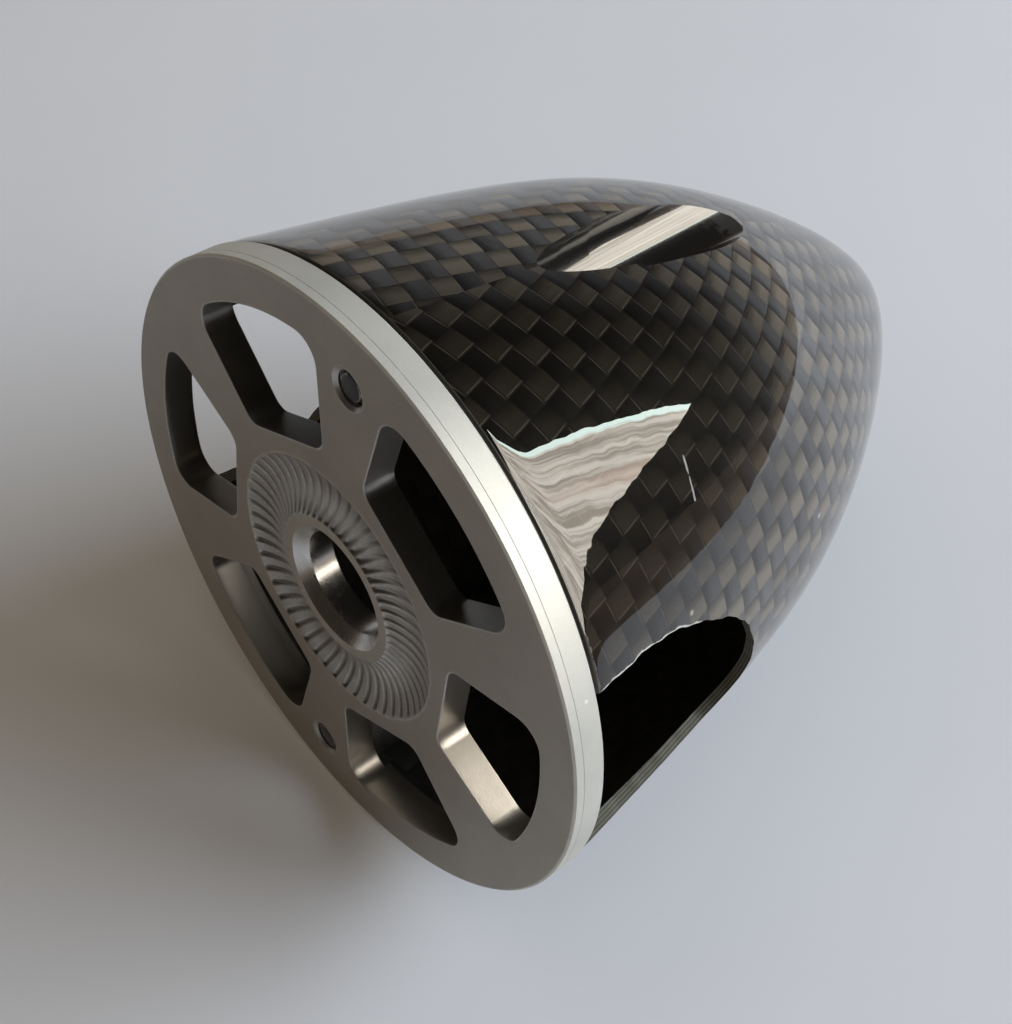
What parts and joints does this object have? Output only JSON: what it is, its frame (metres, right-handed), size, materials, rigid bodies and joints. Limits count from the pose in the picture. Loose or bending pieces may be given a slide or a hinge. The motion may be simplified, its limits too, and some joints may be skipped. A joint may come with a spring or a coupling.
{
  "type": "propeller spinner",
  "caption": "Model aircraft propeller spinner: glossy carbon-fibre cone with blade openings and screw wells on a windowed aluminium backplate.",
  "frame": {"origin": "centre of the backplate's flat back face, on the spin axis", "axes": "+Z along the spin axis towards the nose, blades leave along +X and -X, cone screws on +Y and -Y"},
  "size_m": [0.057, 0.057, 0.0658],
  "materials": {
    "backplate": "bead-blasted and clear anodised",
    "carbon_cone": "gloss clear coat over plain-weave carbon fibre",
    "screws": "black oxide"
  },
  "bodies": {
    "root": {"backplate": "backplate", "carbon_cone": "carbon_cone", "cone_screw_1": "screws", "cone_screw_2": "screws"}
  },
  "joints": []
}
